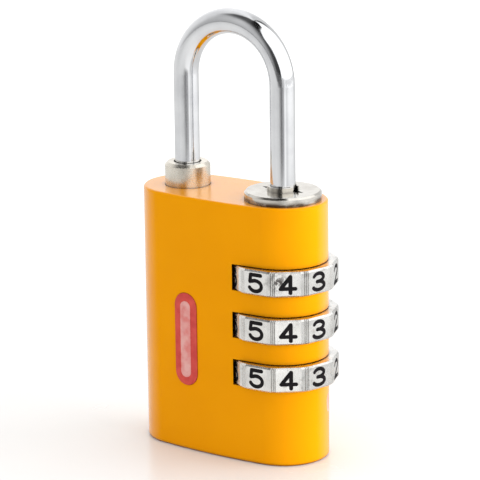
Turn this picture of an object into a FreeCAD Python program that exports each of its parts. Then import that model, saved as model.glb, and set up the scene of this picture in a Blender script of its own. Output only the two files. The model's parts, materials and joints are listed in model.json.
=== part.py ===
import FreeCAD, Part

import math
import os
import re

import Sketcher

# Three-dial luggage padlock with a second, keyed way in.
# Frame: +Z up, the lock stands on z = 0, +X is the end with the dials, the front face is at -Y.
# The long leg of the shackle runs down x = leg_x through the dials; the toe stands at x = -leg_x
# in a guard collar, over the key cylinder.

# Driving dimensions in millimetres, angles in degrees.
DIMENSIONS = {
    # casing: an oval of two end arcs, centred on the shackle's legs, and two broad face arcs
    "casing_height": 41.6,
    "leg_x": 9.15,
    "end_radius": 7.05,
    "face_radius": 91.0,
    "edge_round": 0.4,
    "cover_rim": 1.2,
    "cover_thick": 1.5,
    "fit_gap": 0.05,
    "cut_over": 1.0,
    # shackle
    "wire_radius": 2.0,
    "bend_z": 59.5,
    "toe_gap": 0.15,
    "wire_chamfer": 0.4,
    "leg_end_z": 6.8,
    # fins pressed out of the long leg, a wide one and a narrow one at each dial
    "fin_reach": 3.3,
    "fin_tall": 4.0,
    "fin_below": 2.9,
    "fin_tip": 0.35,
    "wide_root": 2.9,
    "narrow_root": 1.8,
    # dials and their clutch sleeves
    "dial_pitch": 7.7,
    "low_dial_z": 14.55,
    "dial_radius": 8.6,
    "dial_flat": 8.36,
    "dial_tall": 4.0,
    "dial_chamfer": 0.25,
    "dial_gap": 0.1,
    "pocket_radius": 8.75,
    "groove_wide": 0.36,
    "groove_deep": 0.28,
    "first_field": -85.5,
    "sleeve_radius": 4.9,
    "sleeve_tall": 7.3,
    "gate_under": 1.4,
    "fin_room": 3.75,
    "leg_bore": 2.1,
    "gate_reach": 3.45,
    "gate_tip": 0.6,
    "wide_gate": 3.2,
    "narrow_gate": 2.1,
    "drive_wide": 1.2,
    "drive_in": 4.4,
    "stack_bore": 5.0,
    "washer_thick": 0.3,
    # clip, spring and seat at the foot of the long leg
    "clip_z": 7.6,
    "clip_thick": 0.6,
    "clip_radius": 3.3,
    "clip_inner": 1.65,
    "clip_mouth": 2.2,
    "tube_inner": 3.6,
    "seat_thick": 0.4,
    "seat_radius": 3.5,
    "seat_hole": 1.2,
    "lift_coil": 2.75,
    "lift_wire": 0.22,
    # disc around the long leg
    "head_bore": 4.35,
    "head_floor": 33.85,
    "disc_radius": 6.05,
    "disc_thick": 1.4,
    "disc_chamfer": 0.3,
    "spigot_long": 2.0,
    "lip_radius": 2.5,
    "lip_tall": 0.75,
    "disc_slot_reach": 3.77,
    "disc_slot_root": 3.4,
    "disc_slot_tip": 0.15,
    # guard collar around the toe
    "collar_radius": 3.62,
    "collar_bore": 2.2,
    "collar_rise": 3.7,
    "collar_drop": 3.7,
    "collar_chamfer": 0.45,
    "collar_drain": 1.0,
    "top_wall": 3.0,
    "flange_radius": 5.0,
    "flange_thick": 1.2,
    "flange_gap": 0.1,
    "skirt_outer": 3.9,
    "skirt_inner": 2.75,
    "skirt_z": 19.0,
    "key_bore": 5.6,
    "rib_reach": 6.4,
    "rib_wide": 1.5,
    "guard_coil": 4.65,
    "guard_wire": 0.3,
    # key cylinder under the toe
    "housing_outer": 5.55,
    "housing_inner": 3.45,
    "housing_top": 14.9,
    "spacer_top": 27.0,
    "spacer_inner": 4.05,
    "plug_radius": 3.4,
    "nose_radius": 2.9,
    "nose_sink": 0.1,
    "plug_flange": 4.2,
    "plug_flange_top": 2.1,
    "drum_radius": 2.65,
    "drum_top": 22.6,
    "cam_pin_z": 20.6,
    "cam_pin_radius": 0.6,
    "cam_pin_reach": 3.85,
    "cam_gap": 0.1,
    "keyway_wide": 1.1,
    "keyway_tall": 4.4,
    "keyway_top": 13.0,
    "low_wafer_z": 4.2,
    "wafer_pitch": 2.2,
    "wafer_thick": 0.6,
    "wafer_half": 2.2,
    "wafer_round": 3.35,
    "window_half": 0.65,
    "window_tall": 4.2,
    "wafer_slack": 0.05,
    "lug_reach": 2.9,
    "lug_low": 0.7,
    "lug_high": 1.2,
    "pocket_reach": 3.0,
    "pocket_tall": 0.84,
    "wafer_coil": 0.27,
    "wafer_wire": 0.07,
    # click detents beside the dials
    "detent_turn": 184.5,
    "ball_radius": 0.75,
    "ball_gap": 0.02,
    "detent_bore": 0.8,
    "detent_deep": 12.0,
    "detent_coil": 0.5,
    "detent_wire": 0.1,
    # drive pins of the bottom cover
    "drive_pin_x": 0.3,
    "drive_pin_y": 4.0,
    "drive_pin_radius": 0.85,
    "drive_pin_head": 1.7,
    "drive_pin_sink": 0.85,
    "drive_pin_top": 6.0,
    # plain inlay on the front face and the raised index mark
    "inlay_x": -4.5,
    "inlay_z": 18.4,
    "inlay_wide": 4.4,
    "inlay_tall": 15.2,
    "inlay_floor": 7.0,
    "inlay_proud": 0.12,
    "index_turn": 22.5,
    "index_z": 8.8,
    "index_tall": 1.5,
    "index_wide": 0.9,
    "index_deep": 0.85,
}
DIAL_NAMES = ("bottom", "middle", "top")
FIELDS = 10
CLIMB_STEPS = 18
WAFER_SHIFTS = (-0.3, 0.2, 0.4, -0.1)
LIFT_TURNS = 6
GUARD_TURNS = 8
DETENT_TURNS = 5
WAFER_TURNS = 5

doc = FreeCAD.newDocument("combination_padlock")
sheet = doc.addObject("Spreadsheet::Sheet", "Dims")
X_AXIS = FreeCAD.Vector(1, 0, 0)
Y_AXIS = FreeCAD.Vector(0, 1, 0)
Z_AXIS = FreeCAD.Vector(0, 0, 1)
nodes = []


def fill_sheet():
    """Write each driving dimension into the sheet, with its name as the alias."""
    for row, (alias, value) in enumerate(DIMENSIONS.items(), start=1):
        sheet.set(f"A{row}", alias)
        sheet.set(f"B{row}", str(value))
        sheet.setAlias(f"B{row}", alias)
    doc.recompute()


def bind(obj, **sizes):
    """Bind properties to formulas over the sheet's aliases; x, y and z are the position."""
    for name, formula in sizes.items():
        target = f"Placement.Base.{name}" if name in ("x", "y", "z") else name
        obj.setExpression(target, re.sub(r"\b[a-z]\w*\b(?!\()", r"Dims.\g<0>", str(formula)))
    return obj


def turned(obj, axis, angle):
    """Turn an object about its own origin."""
    obj.Placement = FreeCAD.Placement(FreeCAD.Vector(), FreeCAD.Rotation(axis, angle))
    return obj


def cylinder(name, radius, z, top, x=0, y=0):
    """Upright cylinder between two levels."""
    made = doc.addObject("Part::Cylinder", name)
    return bind(made, Radius=radius, Height=f"({top}) - ({z})", x=x, y=y, z=z)


def cone(name, low_radius, high_radius, z, top, x=0, y=0):
    """Upright cone frustum between two levels."""
    made = doc.addObject("Part::Cone", name)
    return bind(made, Radius1=low_radius, Radius2=high_radius, Height=f"({top}) - ({z})", x=x, y=y, z=z)


def box(name, x, x_end, y, y_end, z, top):
    """Box between two corners."""
    made = doc.addObject("Part::Box", name)
    spans = {"Length": f"({x_end}) - ({x})", "Width": f"({y_end}) - ({y})", "Height": f"({top}) - ({z})"}
    return bind(made, x=x, y=y, z=z, **spans)


def spoke(name, root, tip, start, reach, z, top, x, angle):
    """Upright tapered prism that points away from the line (x, 0) at an angle from +X."""
    made = turned(doc.addObject("Part::Wedge", name), Z_AXIS, angle - 90)
    widths = {"Xmin": f"-({root}) / 2", "Xmax": f"({root}) / 2"}
    widths |= {"X2min": f"-({tip}) / 2", "X2max": f"({tip}) / 2"}
    tall = f"({top}) - ({z})"
    return bind(made, Ymin=start, Ymax=reach, Zmin=0, Zmax=tall, Z2min=0, Z2max=tall, x=x, y=0, z=z, **widths)


def aim(obj, x, distance, angle, z):
    """Point an object's own Z level and outward from the line (x, 0), at a distance from it."""
    turn = DIMENSIONS.get(angle, angle)
    flat = FreeCAD.Rotation(Z_AXIS, turn) * FreeCAD.Rotation(Y_AXIS, 90)
    obj.Placement = FreeCAD.Placement(FreeCAD.Vector(), flat)
    return bind(obj, x=f"{x} + ({distance}) * cos({angle})", y=f"({distance}) * sin({angle})", z=z)


def fuse(name, *shapes):
    """Union of several objects."""
    made = doc.addObject("Part::MultiFuse", name)
    made.Shapes = list(shapes)
    made.Refine = True
    return made


def common(name, *shapes):
    """Intersection of several objects."""
    made = doc.addObject("Part::MultiCommon", name)
    made.Shapes = list(shapes)
    return made


def cut(name, base, *tools):
    """Base with every tool taken away."""
    made = doc.addObject("Part::Cut", name)
    made.Base = base
    made.Tool = tools[0] if len(tools) == 1 else fuse(name + "_tools", *tools)
    return made


def node(obj, label):
    """Name a finished sub-part."""
    obj.Label = label
    nodes.append(obj)
    return obj


def coil(name, coil_radius, wire_radius, length, turns):
    """Round-wire spring along +Z from its own origin, with a length between its outer ends."""
    rise = f"({length}) - 2 * ({wire_radius})"
    spine = doc.addObject("Part::Helix", name + "_spine")
    spine.SegmentLength = 0.5
    bind(spine, Radius=coil_radius, Height=rise, Pitch=f"({rise}) / {turns}", z=wire_radius)
    wire = turned(doc.addObject("Part::Circle", name + "_wire"), X_AXIS, 90)
    bind(wire, Radius=wire_radius, x=coil_radius, z=wire_radius)
    spring = doc.addObject("Part::Sweep", name)
    spring.Sections = [wire]
    spring.Spine = (spine, [])
    spring.Solid = True
    spring.Frenet = True
    return spring


def plane_of(body, role):
    """Origin plane of a body, by its role."""
    return next(item for item in body.Origin.OriginFeatures if item.Role == role)


def draw_oval(sketch, offset):
    """Draw the right, back, left and front arcs, tangent to one another, and bind their sizes."""
    leg_x, end, face = (DIMENSIONS[name] for name in ("leg_x", "end_radius", "face_radius"))
    centre_y = math.sqrt((face - end) ** 2 - leg_x**2)
    lean = math.atan2(centre_y, leg_x)
    arcs = (
        (leg_x, 0, end, -lean, lean),
        (0, -centre_y, face, lean, math.pi - lean),
        (-leg_x, 0, end, math.pi - lean, math.pi + lean),
        (0, centre_y, face, math.pi + lean, 2 * math.pi - lean),
    )
    for x, y, radius, start, stop in arcs:
        circle = Part.Circle(FreeCAD.Vector(x, y, 0), Z_AXIS, radius)
        sketch.addGeometry(Part.ArcOfCircle(circle, start, stop), False)
    rule = Sketcher.Constraint
    for index in range(len(arcs)):
        sketch.addConstraint(rule("Tangent", index, 2, (index + 1) % len(arcs), 1))
    sketch.addConstraint([rule("PointOnObject", 0, 3, -1), rule("PointOnObject", 2, 3, -1)])
    sketch.addConstraint([rule("Equal", 0, 2), rule("Equal", 1, 3)])
    sizes = (
        (rule("DistanceX", -1, 1, 0, 3, leg_x), "leg_x"),
        (rule("DistanceX", 2, 3, -1, 1, leg_x), "leg_x"),
        (rule("Radius", 0, end), f"end_radius + {offset}"),
        (rule("Radius", 1, face), f"face_radius + {offset}"),
    )
    for constraint, formula in sizes:
        index = sketch.addConstraint(constraint)
        bind(sketch, **{f"Constraints[{index}]": formula})


def oval_body(name, offset, z, top):
    """Body padded from the casing's oval outline, grown by an offset."""
    body = doc.addObject("PartDesign::Body", name)
    sketch = body.newObject("Sketcher::SketchObject", name + "_outline")
    sketch.AttachmentSupport = (plane_of(body, "XY_Plane"), [""])
    sketch.MapMode = "FlatFace"
    draw_oval(sketch, offset)
    pad = body.newObject("PartDesign::Pad", name + "_pad")
    pad.Profile = sketch
    bind(pad, Length=f"({top}) - ({z})")
    bind(body, z=z)
    doc.recompute()
    return body


def round_rims(body, radius):
    """Round the level edges of a padded body."""
    pad = body.Tip
    level = [f"Edge{n}" for n, edge in enumerate(pad.Shape.Edges, start=1) if edge.BoundBox.ZLength < 0.001]
    rims = body.newObject("PartDesign::Fillet", body.Name + "_rims")
    rims.Base = (pad, level)
    bind(rims, Radius=radius)


def dial_z(index):
    """Middle level of a dial, counted from the bottom one."""
    return f"(low_dial_z + {index} * dial_pitch)"


def capsule(name, gap, outer):
    """Upright capsule outline of the inlay, pushed from its floor out through the front face."""
    radius = f"(inlay_wide / 2 - {gap})"
    straight = "(inlay_tall - inlay_wide) / 2"
    sides = (f"inlay_x - {radius}", f"inlay_x + {radius}")
    levels = (f"inlay_z - {straight}", f"inlay_z + {straight}")
    shapes = [box(name + "_web", *sides, f"-({outer})", "-inlay_floor", *levels)]
    for end, level in zip(("low", "high"), levels):
        disc = turned(doc.addObject("Part::Cylinder", f"{name}_{end}"), X_AXIS, 90)
        bind(disc, Radius=radius, Height=f"{outer} - inlay_floor", x="inlay_x", y="-inlay_floor", z=level)
        shapes.append(disc)
    return fuse(name, *shapes)


def casing():
    """Die-cast casing: a solid oval with two bores from below, dial slots and a cover recess."""
    blank = oval_body("casing_blank", 0, 0, "casing_height")
    round_rims(blank, "edge_round")
    index = turned(doc.addObject("Part::Ellipsoid", "index_mark"), Z_AXIS, DIMENSIONS["index_turn"])
    bind(index, Radius1="index_tall", Radius2="index_deep", Radius3="index_wide", Angle3=360)
    bind(index, x="leg_x + end_radius * cos(index_turn)", y="end_radius * sin(index_turn)", z="index_z")
    chamber = "casing_height - top_wall"
    over = "casing_height + cut_over"
    low = "cover_thick - cut_over"
    tools = [
        oval_body("cover_recess", "-cover_rim", "-cut_over", "cover_thick"),
        cylinder("stack_cut", "stack_bore", low, "head_floor", x="leg_x"),
        cylinder("head_cut", "head_bore", low, over, x="leg_x"),
        cylinder("key_cut", "key_bore", low, chamber, x="-leg_x"),
        cylinder("guide_cut", "collar_radius + fit_gap", low, over, x="-leg_x"),
        box("rib_cut", "0 - leg_x", "rib_reach + cam_gap - leg_x", "-rib_wide / 2 - cam_gap",
            "rib_wide / 2 + cam_gap", low, chamber),
        capsule("inlay_cut", 0, "inlay_floor + cut_over"),
    ]
    for side, sign in (("back", ""), ("front", "-")):
        place = {"x": "drive_pin_x", "y": f"{sign}drive_pin_y"}
        tools.append(cylinder(f"pin_cut_{side}", "drive_pin_radius + fit_gap", low, "drive_pin_top", **place))
    for index_up, name in enumerate(DIAL_NAMES):
        level = dial_z(index_up)
        half = "(dial_tall / 2 + dial_gap)"
        slot = (f"{level} - {half}", f"{level} + {half}")
        tools.append(cylinder(f"slot_{name}", "pocket_radius", *slot, x="leg_x"))
        drill = doc.addObject("Part::Cylinder", f"drill_{name}")
        bind(drill, Radius="detent_bore", Height="detent_deep")
        tools.append(aim(drill, "leg_x", 0, "detent_turn", level))
    return node(cut("casing_shell", fuse("casing_raised", blank, index), *tools), "casing")


def bottom_cover():
    """Cover plate in the underside, with the key hole and two countersinks, and its drive pins."""
    plate = oval_body("cover_blank", "-cover_rim - fit_gap", 0, "cover_thick")
    over = "cover_thick + cut_over"
    tools = [cylinder("cover_eye", "nose_radius + fit_gap", "-cut_over", over, x="-leg_x")]
    pins = []
    for side, sign in (("back", ""), ("front", "-")):
        place = {"x": "drive_pin_x", "y": f"{sign}drive_pin_y"}
        tools.append(cylinder(f"cover_drill_{side}", "drive_pin_radius + fit_gap", 0, over, **place))
        sink = ("drive_pin_head + fit_gap", "drive_pin_radius + fit_gap", 0, "drive_pin_sink")
        tools.append(cone(f"cover_sink_{side}", *sink, **place))
        pins.append(cylinder(f"pin_shank_{side}", "drive_pin_radius", 0, "drive_pin_top - fit_gap", **place))
        head = ("drive_pin_head", "drive_pin_radius", 0, "drive_pin_sink")
        pins.append(cone(f"pin_head_{side}", *head, **place))
    node(cut("cover_plate", plate, *tools), "bottom_cover")
    node(fuse("drive_pins", *pins), "cover_drive_pins")


def inlay():
    """Plain oblong inlay, set in a flat-floored pocket and following the curve of the face."""
    skin = oval_body("inlay_skin", "inlay_proud", 0, "casing_height")
    core = capsule("inlay_core", "fit_gap", "inlay_floor + cut_over")
    return node(common("inlay_piece", skin, core), "face_inlay")


def shackle():
    """U of round wire: a short leg to the toe, a half ring and a long leg with fins and a clip groove."""
    toe = "(casing_height + toe_gap)"
    bow = turned(doc.addObject("Part::Torus", "shackle_bow"), X_AXIS, 90)
    bind(bow, Radius1="leg_x", Radius2="wire_radius", Angle3=180, z="bend_z")
    slim = "wire_radius - wire_chamfer"
    shapes = [
        bow,
        cone("toe_end", slim, "wire_radius", toe, f"{toe} + wire_chamfer", x="-leg_x"),
        cylinder("toe_leg", "wire_radius", f"{toe} + wire_chamfer", "bend_z", x="-leg_x"),
        cone("leg_end", slim, "wire_radius", "leg_end_z", "leg_end_z + wire_chamfer", x="leg_x"),
        cylinder("long_leg", "wire_radius", "leg_end_z + wire_chamfer", "bend_z", x="leg_x"),
    ]
    for index, name in enumerate(DIAL_NAMES):
        foot = f"{dial_z(index)} - fin_below"
        span = (0, "fin_reach", foot, f"{foot} + fin_tall", "leg_x")
        shapes.append(spoke(f"wide_fin_{name}", "wide_root", "fin_tip", *span, 180))
        shapes.append(spoke(f"narrow_fin_{name}", "narrow_root", "fin_tip", *span, 0))
    groove = ("clip_z - fit_gap", "clip_z + clip_thick + fit_gap")
    outside = cylinder("groove_outside", "wire_radius + cut_over", *groove, x="leg_x")
    core = cylinder("groove_core", "clip_inner - fit_gap", "leg_end_z", "clip_z + cut_over", x="leg_x")
    groove = cut("groove_ring", outside, core)
    return node(cut("shackle_wire", fuse("shackle_bent", *shapes), groove), "shackle")


def leg_foot():
    """Retaining clip, lift spring, spring seat and the tube that holds up the stack of sleeves."""
    clip_top = "clip_z + clip_thick"
    ring = cylinder("clip_disc", "clip_radius", "clip_z", clip_top, x="leg_x")
    eye = cylinder("clip_eye", "clip_inner", "clip_z - cut_over", f"{clip_top} + cut_over", x="leg_x")
    mouth = spoke("clip_gap", "clip_mouth", "clip_mouth", 0, "clip_radius + cut_over", "clip_z - cut_over",
                  f"{clip_top} + cut_over", "leg_x", 90)
    node(cut("clip_ring", ring, eye, mouth), "leg_retaining_clip")

    seat_top = "cover_thick + seat_thick"
    seat = cylinder("seat_disc", "seat_radius", "cover_thick", seat_top, x="leg_x")
    seat_eye = cylinder("seat_eye", "seat_hole", 0, f"{seat_top} + cut_over", x="leg_x")
    node(cut("seat_washer", seat, seat_eye), "lift_spring_seat")
    spring = coil("lift_coil_sweep", "lift_coil", "lift_wire", f"clip_z - ({seat_top})", LIFT_TURNS)
    node(bind(spring, x="leg_x", z=seat_top), "lift_spring")

    tube_top = "low_dial_z - sleeve_tall / 2 - fit_gap"
    tube = cylinder("tube_outside", "sleeve_radius", "cover_thick", tube_top, x="leg_x")
    hollow = cylinder("tube_hollow", "tube_inner", 0, f"{tube_top} + cut_over", x="leg_x")
    node(cut("support_tube", tube, hollow), "stack_support_tube")


def leg_disc():
    """Polished disc on the casing's top, with a spigot, a raised lip and two pointed slots."""
    top = "(casing_height + disc_thick)"
    foot = "casing_height - spigot_long"
    brink = f"{top} - disc_chamfer"
    shapes = (
        cylinder("disc_spigot", "head_bore - fit_gap", foot, "casing_height", x="leg_x"),
        cylinder("disc_plate", "disc_radius", "casing_height", brink, x="leg_x"),
        cone("disc_edge", "disc_radius", "disc_radius - disc_chamfer", brink, top, x="leg_x"),
        cylinder("disc_lip", "lip_radius", top, f"{top} + lip_tall", x="leg_x"),
    )
    span = (f"{foot} - cut_over", f"{top} + lip_tall + cut_over")
    tools = [cylinder("disc_eye", "leg_bore", *span, x="leg_x")]
    for side, angle in (("inner", 180), ("outer", 0)):
        slot = ("disc_slot_root", "disc_slot_tip", 0, "disc_slot_reach", *span, "leg_x", angle)
        tools.append(spoke(f"disc_slot_{side}", *slot))
    return node(cut("disc_piece", fuse("disc_solid", *shapes), *tools), "leg_disc")


def dial(index, name):
    """Number dial: ten flat fields with grooved ridges between them and an inner drive key."""
    mid = dial_z(index)
    low, high = f"({mid} - dial_tall / 2)", f"({mid} + dial_tall / 2)"
    slim = "dial_radius - dial_chamfer"
    rim = (f"{low} + dial_chamfer", f"{high} - dial_chamfer")
    wheel = fuse(
        f"wheel_{name}",
        cone(f"wheel_low_{name}", slim, "dial_radius", low, rim[0], x="leg_x"),
        cylinder(f"wheel_mid_{name}", "dial_radius", *rim, x="leg_x"),
        cone(f"wheel_high_{name}", "dial_radius", slim, rim[1], high, x="leg_x"),
    )
    first_ridge = DIMENSIONS["first_field"] + 180 / FIELDS
    flats = turned(doc.addObject("Part::Prism", f"flats_{name}"), Z_AXIS, first_ridge)
    flats.Polygon = FIELDS
    bind(flats, Circumradius=f"dial_flat / cos(180 / {FIELDS})", Height="dial_tall", x="leg_x", z=low)
    span = (f"{low} - cut_over", f"{high} + cut_over", "leg_x")
    tools = [cylinder(f"dial_bore_{name}", "sleeve_radius + fit_gap", *span[:2], x="leg_x")]
    groove = ("groove_wide", "groove_wide", "dial_radius - groove_deep", "dial_radius + cut_over")
    for field in range(FIELDS):
        angle = first_ridge + 360 / FIELDS * field
        tools.append(spoke(f"groove_{name}_{field}", *groove, *span, angle))
    ring = cut(f"dial_ring_{name}", common(f"dial_faceted_{name}", wheel, flats), *tools)
    drive = ("drive_wide", "drive_wide", "drive_in", "sleeve_radius + cut_over")
    key = spoke(f"dial_key_{name}", *drive, low, high, "leg_x", 90)
    return node(fuse(f"dial_piece_{name}", ring, key), f"dial_{name}")


def clutch_sleeve(index, name):
    """Sleeve inside a dial: room for the fins below, and a gate plate with a wide and a narrow gate."""
    mid = dial_z(index)
    low, high = f"({mid} - sleeve_tall / 2)", f"({mid} + sleeve_tall / 2)"
    span = (f"{low} - cut_over", f"{high} + cut_over")
    blank = cylinder(f"sleeve_blank_{name}", "sleeve_radius", low, high, x="leg_x")
    gate = (0, "gate_reach", *span, "leg_x")
    tools = (
        cylinder(f"sleeve_eye_{name}", "leg_bore", *span, x="leg_x"),
        cylinder(f"sleeve_room_{name}", "fin_room", span[0], f"{mid} + gate_under", x="leg_x"),
        spoke(f"wide_gate_{name}", "wide_gate", "gate_tip", *gate, 180),
        spoke(f"narrow_gate_{name}", "narrow_gate", "gate_tip", *gate, 0),
        spoke(f"keyway_{name}", "drive_wide + 2 * fit_gap", "drive_wide + 2 * fit_gap", "drive_in - fit_gap",
              "sleeve_radius + cut_over", *span, "leg_x", 90),
    )
    return node(cut(f"sleeve_{name}", blank, *tools), f"clutch_sleeve_{name}")


def stack_washer(index, name):
    """Thin washer between two sleeves."""
    mid = f"(low_dial_z + ({index} + 0.5) * dial_pitch)"
    low, high = f"{mid} - washer_thick / 2", f"{mid} + washer_thick / 2"
    disc = cylinder(f"washer_disc_{name}", "sleeve_radius", low, high, x="leg_x")
    eye = cylinder(f"washer_eye_{name}", "fin_room", f"{low} - cut_over", f"{high} + cut_over", x="leg_x")
    return node(cut(f"washer_{name}", disc, eye), f"stack_washer_{name}")


def detent(index, name):
    """Click ball and its spring, in a drilling that points at the dial's axis."""
    mid = dial_z(index)
    turn = "detent_turn"
    at_ball = "(dial_radius + ball_radius + ball_gap)"
    ball = bind(doc.addObject("Part::Sphere", f"ball_{name}"), Radius="ball_radius")
    node(aim(ball, "leg_x", at_ball, turn, mid), f"detent_ball_{name}")
    start = f"({at_ball} + ball_radius)"
    spring = coil(f"detent_coil_{name}", "detent_coil", "detent_wire", f"detent_deep - {start}", DETENT_TURNS)
    node(aim(spring, "leg_x", start, turn, mid), f"detent_spring_{name}")


def guard_collar():
    """Collar around the toe with a flange, an anti-turn rib and a skirt with two climbing slots."""
    chamber = "casing_height - top_wall"
    top = "(casing_height + collar_rise)"
    flange_top = f"({chamber} - flange_gap)"
    flange_low = f"({flange_top} - flange_thick)"
    rib = box("collar_rib", "skirt_outer - leg_x", "rib_reach - leg_x", "-rib_wide / 2", "rib_wide / 2",
              flange_low, flange_top)
    slim = "collar_radius - collar_chamfer"
    shapes = (
        cylinder("collar_ring", "collar_radius", flange_low, f"{top} - collar_chamfer", x="-leg_x"),
        cone("collar_mouth", "collar_radius", slim, f"{top} - collar_chamfer", top, x="-leg_x"),
        cylinder("collar_flange", "flange_radius", flange_low, flange_top, x="-leg_x"),
        cylinder("collar_skirt", "skirt_outer", "skirt_z", flange_top, x="-leg_x"),
        rib,
    )
    tools = [
        cylinder("toe_bore", "collar_bore", "casing_height + fit_gap", f"{top} + cut_over", x="-leg_x"),
        cylinder("drain_bore", "collar_drain", "skirt_z - cut_over", f"{top} + cut_over", x="-leg_x"),
        cylinder("skirt_bore", "skirt_inner", "skirt_z - cut_over", flange_low, x="-leg_x"),
    ]
    for step in range(CLIMB_STEPS + 1):
        angle = 90 * step / CLIMB_STEPS
        slot = bind(doc.addObject("Part::Cylinder", f"climb_{step}"), Radius="cam_pin_radius + cam_gap",
                    Height="2 * flange_radius")
        level = f"cam_pin_z + collar_drop * {step} / {CLIMB_STEPS}"
        tools.append(aim(slot, "-leg_x", "-flange_radius", angle, level))
    node(cut("collar_piece", fuse("collar_solid", *shapes), *tools), "guard_collar")

    spring = coil("guard_coil_sweep", "guard_coil", "guard_wire", f"{flange_low} - spacer_top", GUARD_TURNS)
    node(bind(spring, x="-leg_x", z="spacer_top"), "guard_spring")
    spacer = cylinder("spacer_outside", "housing_outer", "housing_top + fit_gap", "spacer_top", x="-leg_x")
    through = ("housing_top - cut_over", "spacer_top + cut_over")
    hollow = cylinder("spacer_hollow", "spacer_inner", *through, x="-leg_x")
    node(cut("spacer_tube", spacer, hollow), "guard_spring_spacer")


def wafer_z(index):
    """Middle level of a wafer, counted from the key's end."""
    return f"(low_wafer_z + {index} * wafer_pitch)"


def cylinder_housing():
    """Fixed housing of the key plug, with a rib against turning and two grooves for the wafers."""
    low = "cover_thick + fit_gap"
    rib = box("housing_rib", "plug_flange + flange_gap - leg_x", "rib_reach - leg_x", "-rib_wide / 2",
              "rib_wide / 2", low, "housing_top")
    barrel = cylinder("housing_shell", "housing_outer", low, "housing_top", x="-leg_x")
    shell = fuse("housing_solid", barrel, rib)
    reach = "(plug_flange + flange_gap)"
    half = "wafer_half + cam_gap"
    tools = (
        cylinder("housing_bore", "housing_inner", 0, "housing_top + cut_over", x="-leg_x"),
        cylinder("housing_step", "plug_flange + flange_gap", 0, "plug_flange_top + flange_gap", x="-leg_x"),
        box("wafer_groove", f"-({half}) - leg_x", f"{half} - leg_x", f"-{reach}", reach,
            f"{wafer_z(0)} - wafer_pitch / 2", f"{wafer_z(len(WAFER_SHIFTS) - 1)} + wafer_pitch / 2"),
    )
    return node(cut("housing_piece", shell, *tools), "cylinder_housing")


def wafer_pocket(name, index, slack, reach, low_y, high_y, half_thick):
    """Side room of a wafer slot, beside the wafer's plate."""
    mid = wafer_z(index)
    return box(name, "wafer_half - fit_gap - leg_x", f"{reach} - leg_x", low_y, high_y,
               f"{mid} - {half_thick} - {slack}", f"{mid} + {half_thick} + {slack}")


def key_plug():
    """Turning plug with a keyway, wafer slots, spring rooms and a drum that carries the cam pin."""
    flange_low = "cover_thick + flange_gap"
    shapes = (
        cylinder("plug_nose", "nose_radius", "nose_sink", flange_low, x="-leg_x"),
        cylinder("plug_collar", "plug_flange", flange_low, "plug_flange_top", x="-leg_x"),
        cylinder("plug_body", "plug_radius", "plug_flange_top", "housing_top", x="-leg_x"),
        cylinder("plug_drum", "drum_radius", "housing_top", "drum_top", x="-leg_x"),
    )
    half = "keyway_wide / 2"
    tools = [
        box("keyway", f"-leg_x - {half}", f"{half} - leg_x", "-keyway_tall / 2", "keyway_tall / 2",
            "-cut_over", "keyway_top"),
        cam_rod("cam_pin_hole", "cam_pin_radius + fit_gap / 2", "flange_radius"),
    ]
    for index in range(len(WAFER_SHIFTS)):
        mid = wafer_z(index)
        side = "wafer_half + wafer_slack"
        thick = "(wafer_thick / 2 + wafer_slack)"
        tools.append(box(f"wafer_slot_{index}", f"-({side}) - leg_x", f"{side} - leg_x", "-plug_flange",
                         "plug_flange", f"{mid} - {thick}", f"{mid} + {thick}"))
        tools.append(wafer_pocket(f"spring_room_{index}", index, 0, "pocket_reach", "-lug_high - wafer_slack",
                                  "lug_high + wafer_slack", "pocket_tall / 2"))
    return node(cut("plug_piece", fuse("plug_solid", *shapes), *tools), "key_plug")


def cam_rod(name, radius, reach):
    """Level rod through the drum, along X at rest."""
    rod = bind(doc.addObject("Part::Cylinder", name), Radius=radius, Height=f"2 * {reach}")
    return aim(rod, "-leg_x", f"-{reach}", 0, "cam_pin_z")


def wafer(index, shift):
    """Wafer with a window cut to the key's height and a lug for its spring, and that spring."""
    mid = wafer_z(index)
    plate = (f"{mid} - wafer_thick / 2", f"{mid} + wafer_thick / 2")
    sides = ("-wafer_half - leg_x", "wafer_half - leg_x")
    strip = box(f"wafer_strip_{index}", *sides, "-plug_radius", "plug_radius", *plate)
    disc = cylinder(f"wafer_disc_{index}", "wafer_round", *plate, x="-leg_x")
    lug = wafer_pocket(f"wafer_lug_{index}", index, 0, "lug_reach", "lug_low", "lug_high", "wafer_thick / 2")
    window = box(f"wafer_window_{index}", "-window_half - leg_x", "window_half - leg_x",
                 f"{shift} - window_tall / 2", f"{shift} + window_tall / 2",
                 f"{plate[0]} - cut_over", f"{plate[1]} + cut_over")
    solid = fuse(f"wafer_solid_{index}", common(f"wafer_round_{index}", strip, disc), lug)
    node(cut(f"wafer_piece_{index}", solid, window), f"wafer_{index + 1}")

    length = "lug_low + lug_high"
    spring = turned(coil(f"wafer_coil_{index}", "wafer_coil", "wafer_wire", length, WAFER_TURNS), X_AXIS, -90)
    centre = "(wafer_half + lug_reach) / 2 + wafer_slack - leg_x"
    node(bind(spring, x=centre, y="-lug_high", z=mid), f"wafer_spring_{index + 1}")


def faults():
    """List what failed to compute, and sub-parts whose shape is empty or invalid."""
    found = [f"{item.Name}: {item.State}" for item in doc.Objects if {"Invalid", "Error"} & set(item.State)]
    for item in nodes:
        if item.Shape.isNull() or not item.Shape.isValid() or item.Shape.Volume <= 0:
            found.append(f"{item.Label}: bad shape")
    return found


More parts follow.
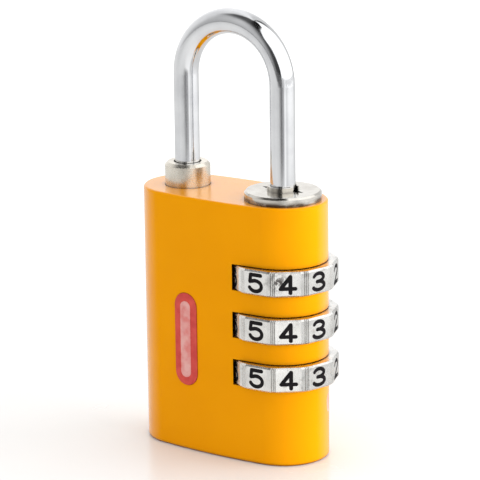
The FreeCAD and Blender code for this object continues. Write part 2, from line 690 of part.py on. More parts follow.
def main():
    fill_sheet()
    casing()
    bottom_cover()
    inlay()
    shackle()
    leg_foot()
    leg_disc()
    for index, name in enumerate(DIAL_NAMES):
        dial(index, name)
        clutch_sleeve(index, name)
        detent(index, name)
    for index, name in enumerate(("lower", "upper")):
        stack_washer(index, name)
    guard_collar()
    cylinder_housing()
    key_plug()
    node(cam_rod("cam_pin_rod", "cam_pin_radius", "cam_pin_reach"), "cam_pin")
    for index, shift in enumerate(WAFER_SHIFTS):
        wafer(index, shift)
    doc.recompute()
    problems = faults()
    if problems:
        raise SystemExit("\n".join(problems))
    os.makedirs("parts", exist_ok=True)
    for item in nodes:
        item.Shape.exportStep(os.path.join("parts", item.Label + ".step"))
        print(item.Label, len(item.Shape.Solids), round(item.Shape.Volume, 3))


main()
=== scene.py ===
import json
import math

import bmesh
import bpy
from mathutils import Matrix, Vector
from mathutils.geometry import delaunay_2d_cdt


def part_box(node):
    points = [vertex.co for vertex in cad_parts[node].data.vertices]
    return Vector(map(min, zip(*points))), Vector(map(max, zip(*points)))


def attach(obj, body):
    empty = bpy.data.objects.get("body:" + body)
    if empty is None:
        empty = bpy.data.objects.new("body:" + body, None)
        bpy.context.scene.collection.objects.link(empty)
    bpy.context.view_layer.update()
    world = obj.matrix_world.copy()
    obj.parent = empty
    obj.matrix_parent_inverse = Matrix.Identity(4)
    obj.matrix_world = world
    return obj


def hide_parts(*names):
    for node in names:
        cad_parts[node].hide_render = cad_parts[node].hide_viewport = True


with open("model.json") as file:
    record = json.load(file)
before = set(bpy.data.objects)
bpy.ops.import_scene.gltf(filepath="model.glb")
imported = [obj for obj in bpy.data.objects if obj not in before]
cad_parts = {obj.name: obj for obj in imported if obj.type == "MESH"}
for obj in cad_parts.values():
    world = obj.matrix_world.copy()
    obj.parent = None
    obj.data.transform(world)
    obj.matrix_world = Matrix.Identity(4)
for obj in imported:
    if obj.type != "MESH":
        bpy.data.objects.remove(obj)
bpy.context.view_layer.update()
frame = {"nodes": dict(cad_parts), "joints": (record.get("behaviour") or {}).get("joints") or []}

nodes = frame["nodes"]
joints = {joint["name"]: joint for joint in frame["joints"]}

# Sizes in metres, in the frame of the CAD model.
MM = 0.001

# Dials: ten flat fields round each, and the digit and azimuth of the one at the front.
DIALS = ("bottom", "middle", "top")
FIELDS = 10
FRONT_DIGIT = 5
FRONT_FIELD = math.radians(-87)
FIELD_STEP = 2 * math.pi / FIELDS
FLAT_RADIUS = 8.36 * MM
DIAL_BORE = 4.95 * MM
DIAL_CHAMFER = 0.25 * MM
# Row of a wheel's quads, from the inner edge of its underside, that holds the flats.
FLAT_ROW = 2
# Grooves along each ridge, placed by shares of half a ridge.
RIDGE_GROOVES = (-0.05, 0.4, 0.82)
GROOVE_WIDE = 0.17 * MM
GROOVE_DEEP = 0.12 * MM
# Angle, in degrees, above which an edge stays sharp.
WHEEL_SHARP = 8
CORE_SHARP = 40

# Digits, in millimetres in the plane of a flat field and below it.
HALF_STROKE = 0.31
ENGRAVED = 0.16
ENAMEL_SUNK = 0.05
JOINED = 1e-4
# Degrees between points along an arc, and steps round a stroke's end.
ARC_STEP = 12
CAP_STEPS = 8

# Pale core of the inlay, its pale colour a painted highlight down the inlay's middle.
CORE_SHARE = 0.22
CORE_END = 1.3 * MM
CORE_ROOT = 0.3 * MM
CORE_PROUD = 0.05 * MM
CORE_SUNK = 0.012 * MM
CORE_RIM = 0.08 * MM
CORE_STEPS = 16

# Stain along the foot of the disc's rim: where it fades out, above the disc's underside.
DISC_THICK = 1.4 * MM
LIP_TALL = 0.75 * MM
RIM_STAIN = (0.35 * MM, 0.8 * MM)
# Pale index mark on the end of the casing.
INDEX_TURN = math.radians(22.5)
INDEX_OUT = 7.05 * MM
INDEX_RISE = 8.8 * MM
INDEX_HALF = (0.93 * MM, 0.93 * MM, 1.55 * MM)
# Dirt beside one digit of the top dial.
SMUDGE_AT = (13.2 * MM, -7.2 * MM, 30.3 * MM)
SMUDGE_HALF = (2.3 * MM, 2.3 * MM, 1.9 * MM)

# Camera: place, then azimuth, rise and roll in degrees.
CAMERA_AT = Vector((245.3, -343.3, 146.3)) * MM
CAMERA_TURN = (35.452, 14.959, -0.706)
CAMERA_LENS = 207.47
CAMERA_CLIP = 0.02
SENSOR = 36.0

# Room light: its level away from and towards the camera, the span between them, and the gain overhead.
BRIGHT_SIDE = 1.08
DIM_SIDE = 0.66
DIM_SPAN = (-0.1, 0.35)
OVERHEAD_GAIN = 0.2
# Key light.
KEY_POWER = 2.8
KEY_AZIMUTH = 108
KEY_RISE = 13
KEY_AWAY = 0.5
KEY_WIDE = 0.6
KEY_TALL = 0.3
KEY_AIM = (0, 0, 0.03)

# The room as metal mirrors it. Azimuths count from the front face towards the dials, in degrees.
# Azimuth where the softbox begins at each height, the azimuths over which it ends, and its level.
SOFTBOX_EDGE = (
    (-90, 55), (-12, 55), (-6, 46), (0, 36), (6, 36), (25, 22), (31, 10), (47, 14), (60, 22), (71, 45),
    (80, 100), (84, 180), (90, 180),
)
SOFTBOX_BLUR = (-2, 2)
SOFTBOX_END = (158, 168)
SOFTBOX_LEVEL = 1.6
# Level of the rest by azimuth, its share by height, and by azimuth how far that share is left out.
SCREENS = (
    (-180, 0.8), (-165, 0.8), (-150, 1.2), (-130, 1.22), (-100, 1.0), (-70, 0.92), (-50, 0.64), (-35, 0.66),
    (-24, 0.8), (-12, 0.6), (-4, 0.3), (6, 0.07), (60, 0.06), (140, 0.06), (160, 0.8), (180, 0.8),
)
HEIGHTS = (
    (-90, 0.5), (-8, 0.5), (5, 0.85), (24, 1.0), (38, 0.92), (50, 0.35), (58, 0.16), (76, 0.15), (90, 0.2),
)
EVEN = ((-180, 1.0), (-82, 1.0), (-60, 0.0), (180, 0.0))
# Floor that only metal sees dark: distance towards the camera in metres over which it starts, and its share by
# azimuth. First the patch that the long leg mirrors, then the floor farther out, then the softbox's side.
FLOOR_PATCHES = (
    ((0.15, 0.21), ((-180, 0.0), (6, 0.0), (32, 0.95), (46, 0.95), (60, 0.0), (180, 0.0))),
    ((0.27, 0.34), ((-180, 0.0), (-60, 0.0), (-40, 0.6), (0, 0.8), (50, 0.8), (62, 0.0), (180, 0.0))),
    ((-9.0, -8.0), ((-180, 0.25), (-110, 0.15), (-62, 0.0), (58, 0.0), (74, 0.5), (95, 0.3), (140, 0.3),
                    (180, 0.25))),
)
FLOOR_REACH = 3.0
# Distance over which the floor goes over into the white room, and the glow that it takes.
FLOOR_FADE = (0.08, 0.2)
FLOOR_GLOW = 0.32
WHITE = (1.0, 1.0, 1.0, 1.0)


class Graph:
    """Node tree of a material or of the world, with short calls for what they use."""

    def __init__(self, name=None, tree=None):
        if name:
            self.material = bpy.data.materials.new(name)
            self.material.use_nodes = True
            tree = self.material.node_tree
            self.shader = tree.nodes["Principled BSDF"]
        self.tree = tree
        self.place = self.add("ShaderNodeTexCoord").outputs["Object" if name else "Generated"]

    def add(self, kind, **settings):
        """Add a node."""
        made = self.tree.nodes.new(kind)
        for name, value in settings.items():
            setattr(made, name, value)
        return made

    def feed(self, socket, value):
        """Link a socket to an output, or set its value."""
        if isinstance(value, bpy.types.NodeSocket):
            self.tree.links.new(value, socket)
        else:
            socket.default_value = value

    def set(self, **inputs):
        """Feed the shader's inputs; underscores stand for spaces."""
        for name, value in inputs.items():
            self.feed(self.shader.inputs[name.replace("_", " ")], value)
        return self

    def stretched(self, x, y, z):
        """Object coordinates scaled along each axis."""
        mapping = self.add("ShaderNodeMapping")
        self.feed(mapping.inputs["Vector"], self.place)
        mapping.inputs["Scale"].default_value = (x, y, z)
        return mapping.outputs["Vector"]

    def noise(self, scale, detail=3.0, place=None, roughness=0.5):
        """Cloudy noise from 0 to 1, with a number of features a metre."""
        made = self.add("ShaderNodeTexNoise")
        self.feed(made.inputs["Vector"], place or self.place)
        made.inputs["Scale"].default_value = scale
        made.inputs["Detail"].default_value = detail
        made.inputs["Roughness"].default_value = roughness
        return made.outputs["Fac"]

    def ramp(self, value, low, high, start=0.0, end=1.0):
        """Map low..high to start..end, held at the ends."""
        made = self.add("ShaderNodeMapRange")
        sockets = ("Value", "From Min", "From Max", "To Min", "To Max")
        for name, given in zip(sockets, (value, low, high, start, end)):
            self.feed(made.inputs[name], given)
        return made.outputs["Result"]

    def along(self, place, direction):
        """Length of a vector along a direction."""
        made = self.add("ShaderNodeVectorMath", operation="DOT_PRODUCT")
        self.feed(made.inputs[0], place)
        made.inputs[1].default_value = direction
        return made.outputs["Value"]

    def length(self, place):
        """Length of a vector."""
        made = self.add("ShaderNodeVectorMath", operation="LENGTH")
        self.feed(made.inputs[0], place)
        return made.outputs["Value"]

    def reach(self, centre, halves):
        """Distance from a point, as a share of an ellipsoid's half sizes."""
        made = self.add("ShaderNodeVectorMath", operation="MULTIPLY_ADD")
        self.feed(made.inputs[0], self.place)
        made.inputs[1].default_value = [1 / half for half in halves]
        made.inputs[2].default_value = [-value / half for value, half in zip(centre, halves)]
        return self.length(made.outputs["Vector"])

    def azimuth(self):
        """Degrees round the lock, counted from the front face towards the dials."""
        turn = self.maths("ARCTAN2", self.along(self.place, (1, 0, 0)), self.along(self.place, (0, -1, 0)))
        return self.maths("MULTIPLY", turn, 180 / math.pi)

    def facing(self):
        """0 where a surface faces the eye, 1 where it is seen edge on."""
        made = self.add("ShaderNodeLayerWeight")
        made.inputs["Blend"].default_value = 0.5
        return made.outputs["Facing"]

    def table(self, value, stops):
        """Value looked up between stops of position and level."""
        made = self.add("ShaderNodeFloatCurve")
        curve = made.mapping.curves[0]
        low, high = stops[0][0], stops[-1][0]
        top = max(level for _, level in stops)
        points = [((spot - low) / (high - low), level / top) for spot, level in stops]
        curve.points[0].location, curve.points[-1].location = points[0], points[-1]
        for spot in points[1:-1]:
            curve.points.new(*spot)
        for point in curve.points:
            point.handle_type = "VECTOR"
        made.mapping.update()
        self.feed(made.inputs["Value"], self.ramp(value, low, high))
        return self.maths("MULTIPLY", made.outputs["Value"], top)

    def maths(self, operation, first, second=0.0):
        """Result of a sum or function of numbers."""
        made = self.add("ShaderNodeMath", operation=operation)
        self.feed(made.inputs[0], first)
        self.feed(made.inputs[1], second)
        return made.outputs["Value"]

    def blend(self, factor, first, second, kind="FLOAT"):
        """Blend two numbers."""
        made = self.add("ShaderNodeMix", data_type=kind)
        for name, value in (("Factor", factor), ("A", first), ("B", second)):
            self.feed(next(s for s in made.inputs if s.name == name and s.enabled), value)
        return next(s for s in made.outputs if s.enabled)

    def mix(self, factor, first, second):
        """Blend two colours."""
        return self.blend(factor, first, second, "RGBA")

    def bump(self, height, strength, distance, under=None):
        """Surface normal bent by a height, over another normal."""
        made = self.add("ShaderNodeBump")
        self.feed(made.inputs["Height"], height)
        made.inputs["Strength"].default_value = strength
        made.inputs["Distance"].default_value = distance
        if under is not None:
            self.feed(made.inputs["Normal"], under)
        return made.outputs["Normal"]

    def rounded(self, radius):
        """Surface normal with sharp edges softened."""
        made = self.add("ShaderNodeBevel", samples=6)
        made.inputs["Radius"].default_value = radius
        return made.outputs["Normal"]

    def hollows(self, distance):
        """Share of light that reaches a point, low in corners and slots."""
        made = self.add("ShaderNodeAmbientOcclusion", samples=6)
        made.inputs["Distance"].default_value = distance
        return made.outputs["AO"]


def rgb(*display):
    """Linear colour from three display values of 0..255."""
    shares = (value / 255 for value in display)
    linear = (share / 12.92 if share <= 0.04045 else ((share + 0.055) / 1.055) ** 2.4 for share in shares)
    return (*linear, 1.0)


def paint():
    """Yellow-orange gloss enamel, with orange peel, painted shade darkening its slots and corners, and the pale
    index mark.
    """
    made = Graph("orange_enamel")
    drift = made.ramp(made.noise(90, 2), 0.35, 0.65)
    base = made.mix(drift, rgb(246, 160, 2), rgb(249, 164, 3))
    fleck = made.ramp(made.noise(5200, 2), 0.7, 0.78, 0.0, 0.2)
    base = made.mix(fleck, base, rgb(215, 130, 12))
    # Painted shade: the enamel turns dark brown where little light reaches, in the slots and corners.
    grime_and_shade = made.ramp(made.hollows(1.0 * MM), 0.25, 0.85, 0.8, 0.0)
    base = made.mix(grime_and_shade, base, rgb(120, 62, 12))
    axis = Vector(joints["dial_top_turn"]["pos_m"])
    centre = (axis.x + INDEX_OUT * math.cos(INDEX_TURN), INDEX_OUT * math.sin(INDEX_TURN), INDEX_RISE)
    mark = made.ramp(made.reach(centre, INDEX_HALF), 0.97, 1.05, 1.0, 0.0)
    base = made.mix(mark, base, rgb(240, 200, 184))
    peel = made.bump(made.noise(1500, 2), 0.06, 0.01 * MM, made.rounded(0.12 * MM))
    rough = made.ramp(made.noise(420, 3), 0.3, 0.7, 0.17, 0.25)
    grazing = made.facing()
    shine = made.ramp(grazing, 0.35, 0.72, 0.04, 0.8)
    coat = made.ramp(grazing, 0.5, 0.75, 0.0, 0.3)
    made.set(Base_Color=base, Roughness=rough, Normal=peel, Specular_IOR_Level=shine)
    made.set(Coat_Weight=coat, Coat_Roughness=0.06)
    return made.material


def metal(name, colour, roughness, scratches, along=(1, 1, 1), grime_and_shade=0.0, stain=(70, 62, 55), hollow_shade=0.8,
          blotch=0.0, smudge=0.0):
    """Bare or plated metal with fine scratches along an axis, stains, and painted shade darkening its corners.
    """
    made = Graph(name)
    tone = made.ramp(made.noise(300, 4), 0.3, 0.7)
    dull = rgb(*(0.9 * value for value in colour))
    base = made.mix(tone, rgb(*colour), dull)
    speck = made.ramp(made.noise(3000, 5, roughness=0.7), 0.62, 0.72, 0.0, grime_and_shade)
    base = made.mix(speck, base, rgb(*stain))
    smear = made.ramp(made.noise(520, 6, roughness=0.65), 0.56, 0.66, 0.0, blotch)
    base = made.mix(smear, base, rgb(*stain))
    if smudge:
        dirt = made.ramp(made.reach(SMUDGE_AT, SMUDGE_HALF), 0.2, 1.0, smudge, 0.0)
        dirt = made.maths("MULTIPLY", dirt, made.ramp(made.noise(1300, 5, roughness=0.7), 0.42, 0.52))
        base = made.mix(dirt, base, rgb(52, 44, 42))
    # Painted shade: near-black brown where little light reaches, in corners and slots.
    corner = made.ramp(made.hollows(0.7 * MM), 0.2, 0.8, hollow_shade, 0.0)
    base = made.mix(corner, base, rgb(45, 38, 32))
    streaks = made.noise(2600, 3, made.stretched(*along))
    rough = made.ramp(streaks, 0.35, 0.7, roughness, roughness + 0.14)
    rough = made.maths("ADD", rough, made.maths("MULTIPLY", speck, 0.4))
    normal = made.bump(streaks, scratches, 0.01 * MM, made.rounded(0.06 * MM))
    normal = made.bump(made.noise(900, 3), 0.05, 0.01 * MM, normal)
    made.set(Base_Color=base, Metallic=1.0, Roughness=rough, Normal=normal)
    return made.material


def disc_metal():
    """Polished steel with brown stains along the foot of its rim, and painted shade darkening its corners."""
    made = Graph("polished_disc")
    _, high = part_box("leg_disc")
    under = high.z - LIP_TALL - DISC_THICK
    foot = made.ramp(made.along(made.place, (0, 0, 1)), *(under + rise for rise in RIM_STAIN), 1.0, 0.0)
    blotch = made.ramp(made.noise(260, 4, made.stretched(1, 1, 3), 0.6), 0.38, 0.52)
    stain = made.maths("MULTIPLY", made.maths("MULTIPLY", foot, blotch), 0.95)
    base = made.mix(made.ramp(made.noise(500, 4), 0.35, 0.7), rgb(214, 211, 204), rgb(196, 191, 183))
    base = made.mix(stain, base, rgb(88, 76, 64))
    # Painted shade: near-black brown where little light reaches, in corners and against the rim.
    corner = made.ramp(made.hollows(0.7 * MM), 0.2, 0.8, 0.7, 0.0)
    base = made.mix(corner, base, rgb(45, 38, 32))
    speck = made.ramp(made.noise(3000, 5, roughness=0.7), 0.64, 0.74, 0.0, 0.5)
    base = made.mix(speck, base, rgb(130, 118, 102))
    rough = made.ramp(made.noise(900, 3), 0.3, 0.7, 0.1, 0.18)
    rough = made.maths("ADD", rough, made.maths("MULTIPLY", stain, 0.3))
    normal = made.bump(made.noise(2600, 3), 0.08, 0.01 * MM, made.rounded(0.08 * MM))
    made.set(Base_Color=base, Metallic=1.0, Roughness=rough, Normal=normal)
    return made.material


def chrome():
    """Chromed wire: bright and hard, with faint draw lines, fine scratches and a few pits."""
    made = Graph("shackle_chrome")
    haze = made.ramp(made.noise(260, 4), 0.42, 0.72)
    base = made.mix(haze, rgb(223, 224, 226), rgb(209, 210, 213))
    pits = made.ramp(made.noise(2600, 4, roughness=0.75), 0.67, 0.73, 0.0, 0.55)
    base = made.mix(pits, base, rgb(110, 106, 104))
    lines = made.noise(2400, 2, made.stretched(1, 1, 0.03))
    rough = made.maths("ADD", made.ramp(haze, 0, 1, 0.07, 0.15), made.maths("MULTIPLY", pits, 0.3))
    normal = made.bump(lines, 0.06, 0.004 * MM)
    normal = made.bump(made.noise(1500, 3), 0.05, 0.004 * MM, normal)
    made.set(Base_Color=base, Metallic=1.0, Roughness=rough, Normal=normal)
    return made.material


def enamel(name, colour, second, roughness, fleck, shine=0.5, coat=0.3):
    """Hard gloss enamel or lacquer with a little mottling."""
    made = Graph(name)
    tone = made.ramp(made.noise(700, 3), 0.35, 0.65)
    base = made.mix(tone, rgb(*colour), rgb(*second))
    worn = made.ramp(made.noise(4200, 4, roughness=0.7), 0.66, 0.74, 0.0, fleck)
    base = made.mix(worn, base, rgb(190, 186, 180))
    normal = made.bump(made.noise(2500, 3), 0.12, 0.01 * MM)
    rough = made.ramp(made.noise(500, 2), 0.3, 0.7, roughness, roughness + 0.15)
    made.set(Base_Color=base, Roughness=rough, Normal=normal, Specular_IOR_Level=shine)
    made.set(Coat_Weight=coat, Coat_Roughness=0.1)
    return made.material


def floor_material():
    """Pale, slightly glossy sweep, with dark patches that only reflections see."""
    made = Graph("pale_floor")
    base = made.mix(made.ramp(made.noise(30, 3), 0.3, 0.7), rgb(239, 239, 238), rgb(242, 242, 241))
    away = made.along(made.place, around(CAMERA_TURN[0], 0, 1))
    darkest = 0.0
    for start, share in FLOOR_PATCHES:
        patch = made.maths("MULTIPLY", made.ramp(away, *start), made.table(made.azimuth(), share))
        darkest = made.maths("MAXIMUM", patch, darkest)
    light = made.add("ShaderNodeLightPath")
    base = made.mix(made.maths("MULTIPLY", darkest, light.outputs["Is Glossy Ray"]), base, rgb(24, 24, 28))
    glow = made.ramp(made.length(made.place), *FLOOR_FADE, 0.0, FLOOR_GLOW)
    glow = made.maths("MULTIPLY", glow, light.outputs["Is Camera Ray"])
    rough = made.ramp(made.noise(80, 3), 0.3, 0.7, 0.2, 0.28)
    made.set(Base_Color=base, Roughness=rough, Specular_IOR_Level=0.35)
    made.set(Emission_Color=WHITE, Emission_Strength=glow)
    return made.material


def finish_cad_nodes():
    """Give each CAD node its material."""
    brass = metal("turned_brass", (205, 170, 96), 0.28, 0.2, along=(1, 1, 8), grime_and_shade=0.25)
    cast = metal("cast_zinc", (168, 168, 166), 0.42, 0.15, grime_and_shade=0.3)
    spring = metal("drawn_spring_steel", (150, 150, 152), 0.25, 0.1, grime_and_shade=0.2)
    finishes = {
        "casing": paint(),
        "bottom_cover": metal("cover_zinc", (190, 189, 186), 0.34, 0.25, along=(0.05, 1, 1), grime_and_shade=0.35),
        "face_inlay": enamel("inlay_red", (222, 84, 74), (206, 66, 62), 0.3, 0.3, shine=0.2, coat=0.1),
        "shackle": chrome(),
        "leg_disc": disc_metal(),
        "guard_collar": metal("nickel_collar", (230, 224, 212), 0.2, 0.1, along=(1, 1, 6), grime_and_shade=0.3,
                              stain=(150, 134, 112), hollow_shade=0.6),
        "cover_drive_pins": metal("drive_pin_steel", (176, 175, 172), 0.3, 0.2, grime_and_shade=0.4),
    }
    groups = (
        (spring, ("wafer_spring",)),
        (brass, ("cylinder_housing", "key_plug", "wafer_", "stack_washer")),
        (spring, ("spring", "detent", "clip", "cam_pin")),
    )
    for name, obj in nodes.items():
        found = (material for material, words in groups if any(word in name for word in words))
        obj.data.materials.clear()
        obj.data.materials.append(finishes.get(name) or next(found, cast))


def placed(name, data):
    """New object in the scene."""
    made = bpy.data.objects.new(name, data)
    bpy.context.scene.collection.objects.link(made)
    return made


def made_object(name, mesh, material):
    """New mesh object with a material."""
    obj = placed(name, mesh)
    obj.data.materials.append(material)
    return obj


def arc(x, y, wide, tall, start, end):
    """Points along part of an ellipse, between two angles in degrees."""
    steps = max(4, round(abs(end - start) / ARC_STEP))
    turns = (math.radians(start + (end - start) * step / steps) for step in range(steps + 1))
    return [(x + wide * math.cos(turn), y + tall * math.sin(turn)) for turn in turns]


def half_turned(strokes):
    """The same strokes upside down."""
    return [[(-x, -y) for x, y in points] for points in strokes]


# Middle lines of the digits' strokes, in millimetres about the middle of a flat field.
SIX = [
    arc(0, -0.5, 1.04, 0.8, 0, 360),
    arc(0.16, -0.42, 1.2, 1.7, 62, 180),
]
DIGITS = {
    0: [arc(0, 0, 1.02, 1.3, 0, 360)],
    1: [[(-0.5, 0.85), (0.12, 1.3)], [(0.12, 1.3), (0.12, -1.3)]],
    2: [arc(0, 0.55, 1.0, 0.75, 165, -35) + [(-1.05, -1.3)], [(-1.05, -1.3), (1.08, -1.3)]],
    3: [
        arc(-0.05, 0.66, 0.98, 0.64, 158, -90) + [(-0.35, 0.02)],
        arc(-0.05, -0.64, 1.12, 0.66, 90, -158),
    ],
    4: [[(0.38, 1.3), (-1.15, -0.62)], [(-1.15, -0.62), (1.15, -0.62)], [(0.38, 1.3), (0.38, -1.3)]],
    5: [
        [(0.95, 1.3), (-0.85, 1.3)],
        [(-0.85, 1.3), (-0.98, 0.2)],
        [(-0.98, 0.2)] + arc(-0.02, -0.45, 1.1, 0.85, 98, -158),
    ],
    6: SIX,
    7: [[(-1.05, 1.3), (1.05, 1.3)], [(1.05, 1.3), (-0.35, -1.3)]],
    8: [arc(0, 0.66, 0.88, 0.64, 0, 360), arc(0, -0.64, 1.1, 0.66, 0, 360)],
    9: half_turned(SIX),
}


def stroke_loops(points):
    """Outline of a round-ended stroke: one loop, or two where the stroke closes on itself."""
    path = [Vector(spot) for spot in points]
    closed = (path[0] - path[-1]).length < JOINED
    if closed:
        path.pop()
    count = len(path)
    sides = []
    for side in (1, -1):
        run = []
        for index, spot in enumerate(path):
            before = path[index - 1] if closed or index else spot
            after = path[(index + 1) % count] if closed or index + 1 < count else spot
            ahead = (after - before).normalized()
            run.append(spot + side * HALF_STROKE * Vector((-ahead.y, ahead.x)))
        sides.append(run)
    if closed:
        return sides

    def cap(tip, inner):
        ahead = (tip - inner).normalized()
        turns = (math.pi * (0.5 - step / CAP_STEPS) for step in range(1, CAP_STEPS))
        return [tip + HALF_STROKE * (ahead * math.cos(turn) + Vector((-ahead.y, ahead.x)) * math.sin(turn))
                for turn in turns]

    return [sides[0] + cap(path[-1], path[-2]) + sides[1][::-1] + cap(path[0], path[1])]


def within(loops, spot):
    """Whether a spot lies inside a stroke's loops."""
    crossings = 0
    for loop in loops:
        for first, second in zip(loop, loop[1:] + loop[:1]):
            if (first.y > spot.y) != (second.y > spot.y):
                reach = first.x + (spot.y - first.y) / (second.y - first.y) * (second.x - first.x)
                crossings += reach > spot.x
    return crossings % 2 == 1


def field_cells(digit, half_wide, half_tall):
    """Triangles of a flat field cut along a digit's outline, each with whether it lies in the digit."""
    strokes = [stroke_loops(points) for points in DIGITS[digit]]
    corners = [Vector((x * half_wide, y * half_tall)) for x, y in ((-1, -1), (1, -1), (1, 1), (-1, 1))]
    spots, edges = [], []
    for loop in [corners] + [loop for loops in strokes for loop in loops]:
        first, count = len(spots), len(loop)
        spots += loop
        edges += [(first + index, first + (index + 1) % count) for index in range(count)]
    spots, _, cells, *_ = delaunay_2d_cdt(spots, edges, [], 0, JOINED / 10)
    marked = []
    for cell in cells:
        middle = sum((spots[index] for index in cell), Vector((0, 0))) / len(cell)
        marked.append(any(within(loops, middle) for loops in strokes))
    return spots, cells, marked


def add_field(work, cells, place, high, low, fill):
    """Add a flat field with its digit sunk in, or with fill only the digit as a solid between two levels."""
    spots, faces, marked = cells
    made = {}

    def corner(index, level):
        key = (index, level)
        if key not in made:
            made[key] = work.verts.new(place @ Vector((*spots[index], level)))
        return made[key]

    beside = {}
    for face, sunk in zip(faces, marked):
        levels = ((high, low) if fill else (low,)) if sunk else (() if fill else (high,))
        for level in levels:
            work.faces.new([corner(index, level) for index in face])
        for pair in zip(face, face[1:] + face[:1]):
            beside.setdefault(frozenset(pair), []).append(sunk)
    for pair, sides in beside.items():
        if len(set(sides)) == 2:
            first, second = pair
            around_wall = ((first, high), (second, high), (second, low), (first, low))
            work.faces.new([corner(*spot) for spot in around_wall])


def field_places():
    """Digit and placing matrix of each flat field: millimetres across, up and out of the field."""
    up = Vector((0, 0, 1))
    for index in range(FIELDS):
        angle = FRONT_FIELD + index * FIELD_STEP
        out = Vector((math.cos(angle), math.sin(angle), 0))
        turn = Matrix((up.cross(out), up, out)).transposed().to_4x4()
        yield (FRONT_DIGIT - index) % FIELDS, Matrix.Translation(out * FLAT_RADIUS) @ turn @ Matrix.Scale(MM, 4)


def dial_outline(ridge_radius):
    """Closed outline of a dial: each flat field, then its ridge with fine grooves along it."""
    half_flat = math.acos(FLAT_RADIUS / ridge_radius)
    half_ridge = FIELD_STEP / 2 - half_flat
    points = []
    for index in range(FIELDS):
        middle = FRONT_FIELD + index * FIELD_STEP
        ridge = middle + FIELD_STEP / 2
        marks = [(middle - half_flat, 0.0), (middle + half_flat, 0.0)]
        for groove in RIDGE_GROOVES:
            spot = ridge + groove * half_ridge
            half = GROOVE_WIDE / 2 / ridge_radius
            marks += [(spot - half, 0.0), (spot, GROOVE_DEEP), (spot + half, 0.0)]
        points += [((ridge_radius - deep) * math.cos(turn), (ridge_radius - deep) * math.sin(turn))
                   for turn, deep in marks]
    return points


def dial_wheel(ridge_radius, tall, cells):
    """Dial about the origin: rings of its outline and bore bridged by quads, with engraved flats."""
    outline = dial_outline(ridge_radius)
    count = len(outline)
    half = tall / 2
    shoulder = half - DIAL_CHAMFER
    work = bmesh.new()
    rings = []
    for inset, level in ((None, -half), (DIAL_CHAMFER, -half), (0.0, -shoulder),
                         (0.0, shoulder), (DIAL_CHAMFER, half), (None, half)):
        ring = []
        for x, y in outline:
            radius = math.hypot(x, y)
            scale = DIAL_BORE / radius if inset is None else (radius - inset) / radius
            ring.append(work.verts.new((x * scale, y * scale, level)))
        rings.append(ring)
    for row, (low, high) in enumerate(zip(rings, rings[1:] + rings[:1])):
        for index in range(count):
            if row == FLAT_ROW and index % (count // FIELDS) == 0:
                continue
            after = (index + 1) % count
            work.faces.new((low[index], low[after], high[after], high[index]))
    for digit, place in field_places():
        add_field(work, cells[digit], place, 0.0, -ENGRAVED, False)
    return finished_mesh(work, "dial_wheel")


def dial_digits(cells):
    """The enamel of a dial's ten digits, a little below its flats."""
    work = bmesh.new()
    for digit, place in field_places():
        add_field(work, cells[digit], place, -ENAMEL_SUNK, -ENGRAVED, True)
    return finished_mesh(work, "dial_digits")


def finished_mesh(work, name):
    """Mesh from a bmesh, with doubled corners joined and its faces outward."""
    bmesh.ops.remove_doubles(work, verts=work.verts, dist=0.001 * MM)
    bmesh.ops.recalc_face_normals(work, faces=work.faces)
    mesh = bpy.data.meshes.new(name)
    work.to_mesh(mesh)
    work.free()
    return mesh


def smooth(mesh, angle):
    """Smooth shading, broken at edges sharper than an angle."""
    for face in mesh.polygons:
        face.use_smooth = True
    mesh.set_sharp_from_angle(angle=math.radians(angle))


def dials():
    """Three engraved dials with black enamel in their digits."""
    low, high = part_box("dial_bottom")
    ridge_radius = (high.x - low.x) / 2
    tall = high.z - low.z
    half_wide = math.sqrt(ridge_radius ** 2 - FLAT_RADIUS ** 2) / MM
    half_tall = (tall / 2 - DIAL_CHAMFER) / MM
    cells = {digit: field_cells(digit, half_wide, half_tall) for digit in DIGITS}
    ring = dial_wheel(ridge_radius, tall, cells)
    smooth(ring, WHEEL_SHARP)
    fill = dial_digits(cells)
    steel = metal("worn_nickel", (238, 237, 234), 0.2, 0.25, along=(1, 1, 0.2), grime_and_shade=0.75, stain=(92, 84, 76),
                  hollow_shade=0.75, blotch=0.35, smudge=0.9)
    black = enamel("digit_enamel", (14, 12, 14), (24, 20, 24), 0.5, 0.15, shine=0.15, coat=0.0)
    for name in DIALS:
        middle = Vector(joints[f"dial_{name}_turn"]["pos_m"])
        low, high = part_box(f"dial_{name}")
        middle.z = (low.z + high.z) / 2
        for piece, mesh, material in (("wheel", ring, steel), ("digits", fill, black)):
            made = made_object(f"dial_{name}_{piece}", mesh.copy(), material)
            made.data.transform(Matrix.Translation(middle))
            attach(made, f"dial_{name}_body")
            if piece == "wheel":
                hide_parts(f"dial_{name}")


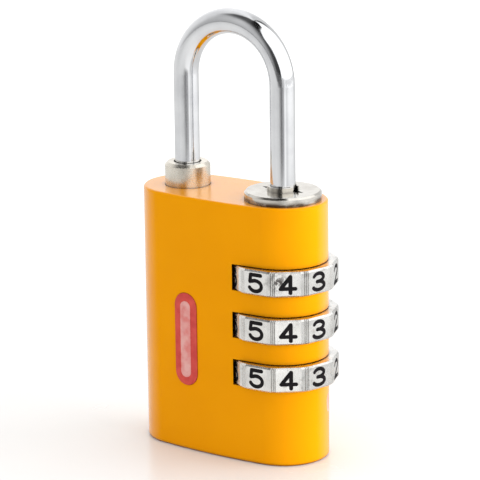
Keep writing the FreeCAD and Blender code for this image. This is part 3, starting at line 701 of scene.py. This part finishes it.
def inlay_highlight_stripe():
    """Slim pale core on the inlay, a plain rounded bar just proud of it, its pale colour a painted highlight.
    """
    low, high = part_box("face_inlay")
    middle = (low + high) / 2
    half_wide = CORE_SHARE * (high.x - low.x)
    reach = (high.z - low.z) / 2 - CORE_END - half_wide
    outline = []
    for start, centre in ((0, reach), (math.pi, -reach)):
        for step in range(CORE_STEPS + 1):
            angle = start + math.pi * step / CORE_STEPS
            outline.append((half_wide * math.cos(angle), centre + half_wide * math.sin(angle)))
    work = bmesh.new()
    rings = []
    for inset, y in ((0.0, CORE_ROOT), (0.0, -0.5 * CORE_PROUD), (CORE_RIM, -CORE_PROUD)):
        scale = 1 - inset / half_wide
        rings.append([work.verts.new((x * scale, y, z)) for x, z in outline])
    for ring, after in zip(rings, rings[1:]):
        for index in range(len(outline)):
            following = (index + 1) % len(outline)
            work.faces.new((ring[index], ring[following], after[following], after[index]))
    work.faces.new(rings[0])
    work.faces.new(rings[-1])
    mesh = finished_mesh(work, "inlay_core")
    mesh.transform(Matrix.Translation((middle.x, low.y + CORE_SUNK, middle.z)))
    smooth(mesh, CORE_SHARP)
    # Painted highlight: pale pink enamel down the middle of the red inlay.
    pale = enamel("inlay_painted_highlight", (236, 178, 172), (226, 132, 126), 0.25, 0.3, shine=0.3, coat=0.1)
    core = made_object("inlay_core", mesh, pale)
    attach(core, "casing_body")


def camera():
    """Long-lens view of the front and of the end with the dials."""
    turn, rise, roll = (math.radians(angle) for angle in CAMERA_TURN)
    back = Vector((math.sin(turn) * math.cos(rise), -math.cos(turn) * math.cos(rise), math.sin(rise)))
    across = Vector((0, 0, 1)).cross(back).normalized()
    up = back.cross(across)
    tilted = across * math.cos(roll) + up * math.sin(roll)
    upright = up * math.cos(roll) - across * math.sin(roll)
    data = bpy.data.cameras.new("camera")
    data.sensor_width = SENSOR
    data.lens = CAMERA_LENS
    data.clip_start = CAMERA_CLIP
    made = placed("camera", data)
    made.matrix_world = Matrix.Translation(CAMERA_AT) @ Matrix((tilted, upright, back)).transposed().to_4x4()
    bpy.context.scene.camera = made


def key_light():
    """Big low softbox behind the dials' end, which neither the camera nor reflections see."""
    data = bpy.data.lights.new("key", "AREA")
    data.shape = "RECTANGLE"
    data.size, data.size_y = KEY_WIDE, KEY_TALL
    data.energy = KEY_POWER
    made = placed("key", data)
    made.location = around(KEY_AZIMUTH, KEY_RISE, KEY_AWAY)
    made.rotation_euler = (Vector(KEY_AIM) - made.location).to_track_quat("-Z", "Y").to_euler()
    made.visible_camera = made.visible_glossy = False


def around(azimuth, rise, distance):
    """Point round the lock, with its azimuth counted from the front face towards the dials."""
    turn, lift = math.radians(azimuth), math.radians(rise)
    flat = distance * math.cos(lift)
    return Vector((flat * math.sin(turn), -flat * math.cos(turn), distance * math.sin(lift)))


def surroundings():
    """White room that is dimmer towards the camera. Reflections see screens and a softbox in its place."""
    world = bpy.data.worlds.new("studio")
    world.use_nodes = True
    made = Graph(tree=world.node_tree)
    upward = made.along(made.place, (0, 0, 1))
    rise = made.maths("MULTIPLY", made.maths("ARCSINE", upward), 180 / math.pi)
    soft = made.ramp(made.along(made.place, around(CAMERA_TURN[0], 0, 1)), *DIM_SPAN, BRIGHT_SIDE, DIM_SIDE)
    overhead = made.maths("MULTIPLY", made.maths("MAXIMUM", upward, 0.0), OVERHEAD_GAIN)
    soft = made.maths("ADD", soft, overhead)
    azimuth = made.azimuth()
    share = made.blend(made.table(azimuth, EVEN), made.table(rise, HEIGHTS), 1.0)
    screens = made.maths("MULTIPLY", made.table(azimuth, SCREENS), share)
    past_edge = made.ramp(made.maths("SUBTRACT", azimuth, made.table(rise, SOFTBOX_EDGE)), *SOFTBOX_BLUR)
    past_edge = made.maths("MULTIPLY", past_edge, made.ramp(azimuth, *SOFTBOX_END, 1.0, 0.0))
    mirrored = made.blend(past_edge, screens, SOFTBOX_LEVEL)
    light = made.add("ShaderNodeLightPath")
    level = made.blend(light.outputs["Is Glossy Ray"], soft, mirrored)
    level = made.maths("MAXIMUM", level, light.outputs["Is Camera Ray"])
    background = made.tree.nodes["Background"]
    made.feed(background.inputs["Strength"], level)
    background.inputs["Color"].default_value = WHITE
    bpy.context.scene.world = world


def studio():
    """White floor and room, and the key light."""
    bpy.context.scene.view_settings.view_transform = "Standard"
    surroundings()
    corners = [(x * FLOOR_REACH, y * FLOOR_REACH, 0) for x, y in ((-1, -1), (1, -1), (1, 1), (-1, 1))]
    mesh = bpy.data.meshes.new("floor")
    mesh.from_pydata(corners, [], [range(len(corners))])
    made_object("floor", mesh, floor_material())
    key_light()


finish_cad_nodes()
dials()
inlay_highlight_stripe()
camera()
studio()
